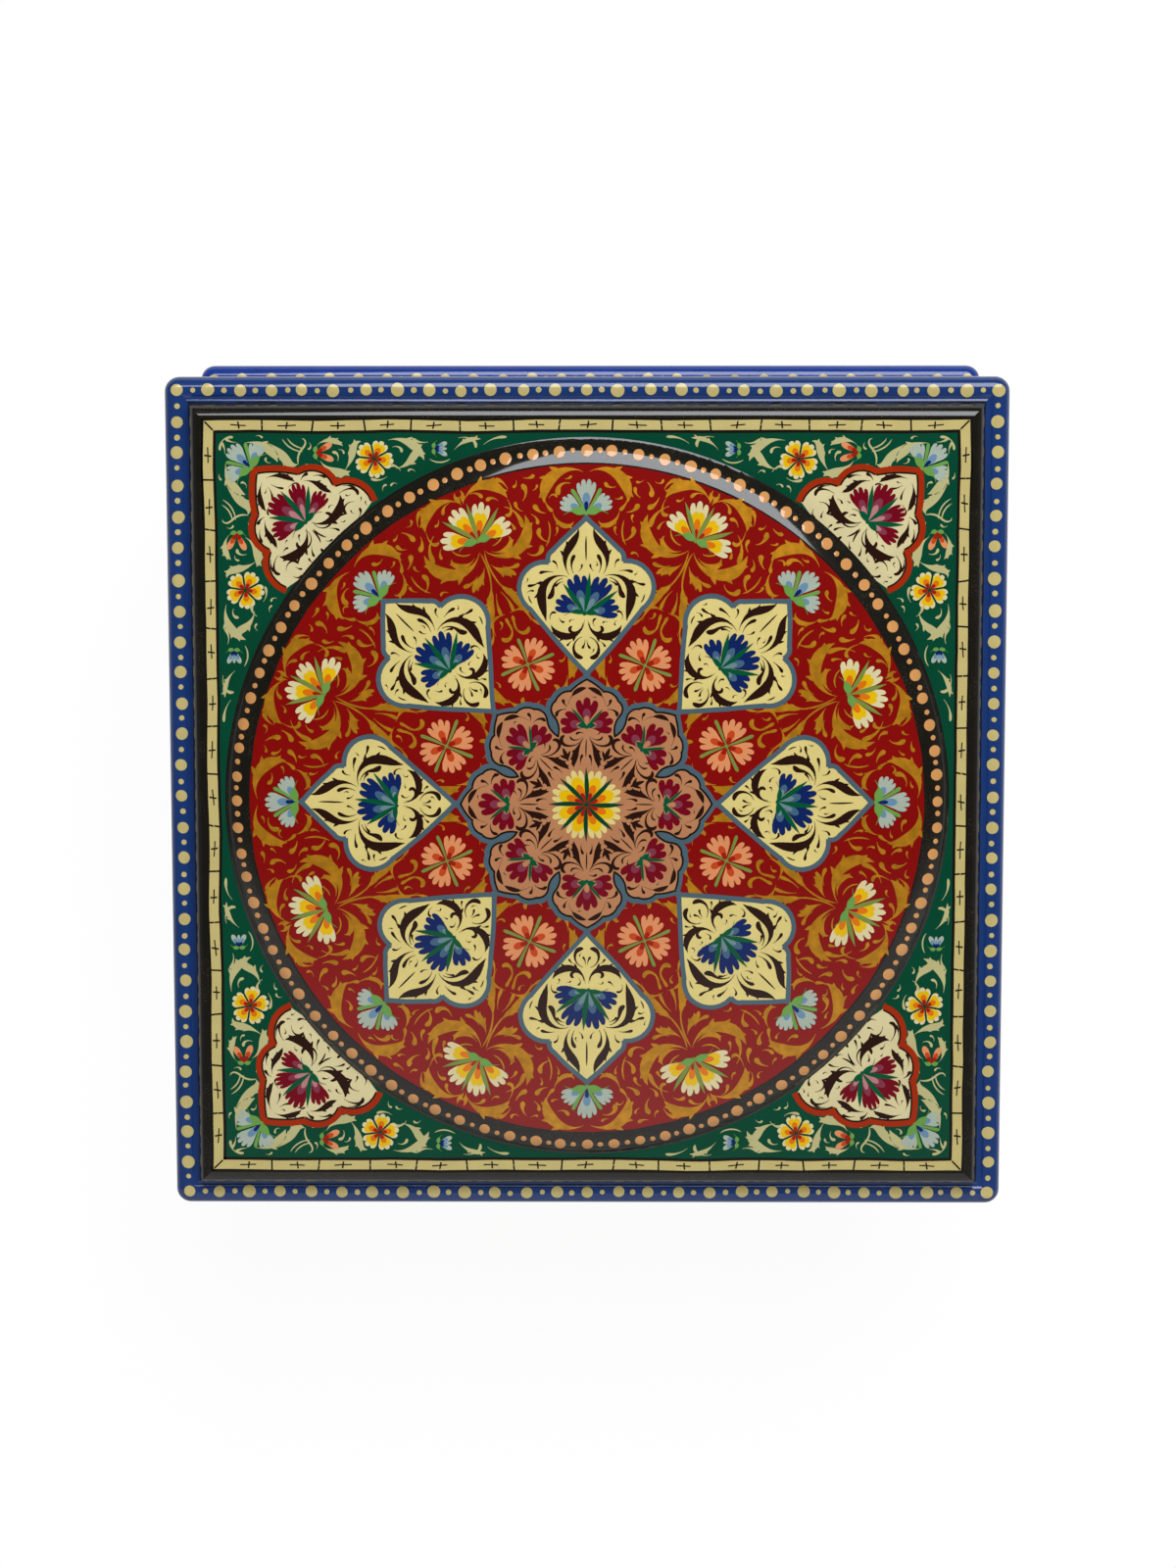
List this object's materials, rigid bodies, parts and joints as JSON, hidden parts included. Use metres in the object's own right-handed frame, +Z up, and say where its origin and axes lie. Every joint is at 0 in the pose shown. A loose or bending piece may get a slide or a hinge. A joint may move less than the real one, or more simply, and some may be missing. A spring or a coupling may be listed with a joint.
{
  "type": "lacquered papier mache box",
  "caption": "Square painted papier mache box with flanged plinth and lid, a raised round medallion and a lift-off lid over an inner collar.",
  "frame": {"origin": "centre of the underside, on the surface the box stands on", "axes": "+Z up through the lid, along which the lid lifts off; +X to the right and +Y to the back, square to the sides"},
  "size_m": [0.203, 0.203, 0.1021],
  "materials": {
    "blue_lacquer": "blue paint under clear gloss lacquer",
    "green_lacquer": "green paint and ornament under clear gloss lacquer",
    "red_lacquer": "red paint and ornament under clear gloss lacquer",
    "wall_lacquer": "black paint and ornament under clear gloss lacquer",
    "liner_lacquer": "red paint under clear lacquer",
    "underside_lacquer": "plain black paint, satin",
    "velvet": "short-pile velvet on card"
  },
  "bodies": {
    "box": {"floor_board": "underside_lacquer", "floor_lining": "velvet", "wall_front": "wall_lacquer", "wall_right": "wall_lacquer", "wall_back": "wall_lacquer", "wall_left": "wall_lacquer", "liner_front": "liner_lacquer", "liner_right": "liner_lacquer", "liner_back": "liner_lacquer", "liner_left": "liner_lacquer", "plinth_front": "blue_lacquer", "plinth_right": "blue_lacquer", "plinth_back": "blue_lacquer", "plinth_left": "blue_lacquer"},
    "lid": {"lid_rail_front": "blue_lacquer", "lid_rail_right": "blue_lacquer", "lid_rail_back": "blue_lacquer", "lid_rail_left": "blue_lacquer", "lid_panel": "green_lacquer", "lid_medallion": "red_lacquer", "lid_lining": "velvet"}
  },
  "joints": [
    {"name": "lid_lift", "type": "slide", "parent": "box", "child": "lid", "axis": [0, 0, 1], "range_m": [0, 0.12]}
  ]
}
